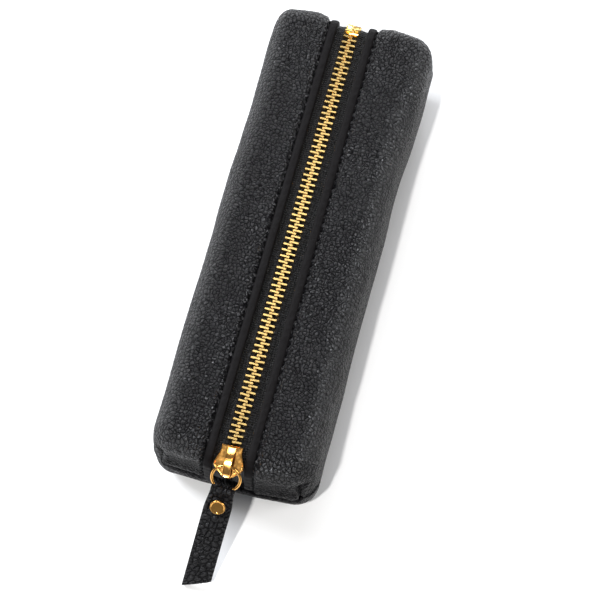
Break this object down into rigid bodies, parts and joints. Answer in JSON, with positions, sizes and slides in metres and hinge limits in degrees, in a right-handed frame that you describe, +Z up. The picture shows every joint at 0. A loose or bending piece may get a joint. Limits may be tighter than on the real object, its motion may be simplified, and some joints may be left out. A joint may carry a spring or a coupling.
{
  "type": "fountain pen case",
  "caption": "Long boxed zipped case of grained black leather that holds fountain pens, with a metal zip along its top and a ring and leather strap to pull.",
  "frame": {"origin": "on the surface the case rests on, under the middle of the leather body", "axes": "+Y along the zip towards the far end, away from the pull strap; +Z up; +X to the right seen from the strap end"},
  "size_m": [0.0626, 0.2332, 0.0445],
  "materials": {
    "grained_leather": "black pebbled leather, semi-matte",
    "smooth_leather": "black smooth edge leather, satin",
    "thread": "black polyester thread",
    "foam": "grey padding",
    "lining_cloth": "dark woven lining",
    "zip_tape": "black woven tape",
    "gold_teeth": "polished gold-coloured brass",
    "gold_metal": "mirror-polished pale gold plate",
    "steel": "plain spring steel"
  },
  "bodies": {
    "case": {"leather_wrap": "grained_leather", "near_end_left": "grained_leather", "near_end_right": "grained_leather", "far_end_left": "grained_leather", "far_end_right": "grained_leather", "near_end_seam": "thread", "far_end_seam": "thread", "corner_seams": "thread", "base_padding": "foam", "base_lining": "lining_cloth"},
    "left_side": {"left_side_leather": "grained_leather", "left_side_padding": "foam", "left_side_lining": "lining_cloth", "left_edge_band": "smooth_leather", "left_topstitch": "thread", "left_tape": "zip_tape", "left_teeth": "gold_teeth"},
    "right_side": {"right_side_leather": "grained_leather", "right_side_padding": "foam", "right_side_lining": "lining_cloth", "right_edge_band": "smooth_leather", "right_topstitch": "thread", "right_tape": "zip_tape", "right_teeth": "gold_teeth"},
    "slider": {"slider_body": "gold_metal", "slider_cap": "gold_metal", "lock_pawl": "steel"},
    "ring": {"pull_ring": "gold_metal"},
    "strap": {"pull_strap": "grained_leather", "rivet_cap": "gold_metal", "rivet_post": "gold_metal"}
  },
  "joints": [
    {"name": "slider_travel", "type": "slide", "parent": "case", "child": "slider", "axis": [0, 1, 0], "range_m": [0, 0.172], "deforming": ["pull_strap", "rivet_cap", "rivet_post"]},
    {"name": "left_side_open", "type": "hinge", "parent": "case", "child": "left_side", "pos_m": [-0.0313, 0, 0.005], "axis": [0, -1, 0], "range_deg": [0, 20], "deforming": ["left_edge_band", "left_topstitch", "left_tape", "left_teeth"]},
    {"name": "right_side_open", "type": "hinge", "parent": "case", "child": "right_side", "pos_m": [0.0313, 0, 0.005], "axis": [0, 1, 0], "range_deg": [0, 20], "deforming": ["right_edge_band", "right_topstitch", "right_tape", "right_teeth"]},
    {"name": "ring_swing", "type": "hinge", "parent": "slider", "child": "ring", "pos_m": [0.00031, -0.09701, 0.04219], "axis": [-0.9994, -0.0349, 0], "range_deg": [0, 135]},
    {"name": "strap_swing", "type": "hinge", "parent": "ring", "child": "strap", "pos_m": [-0.00003, -0.10366, 0.0337], "axis": [-0.9962, 0.0296, 0.0824], "range_deg": [0, 85]}
  ],
  "couplings": [
    {"joint": "left_side_open", "follows": "slider_travel", "rad_per_m": 2.02},
    {"joint": "right_side_open", "follows": "slider_travel", "rad_per_m": 2.02}
  ]
}
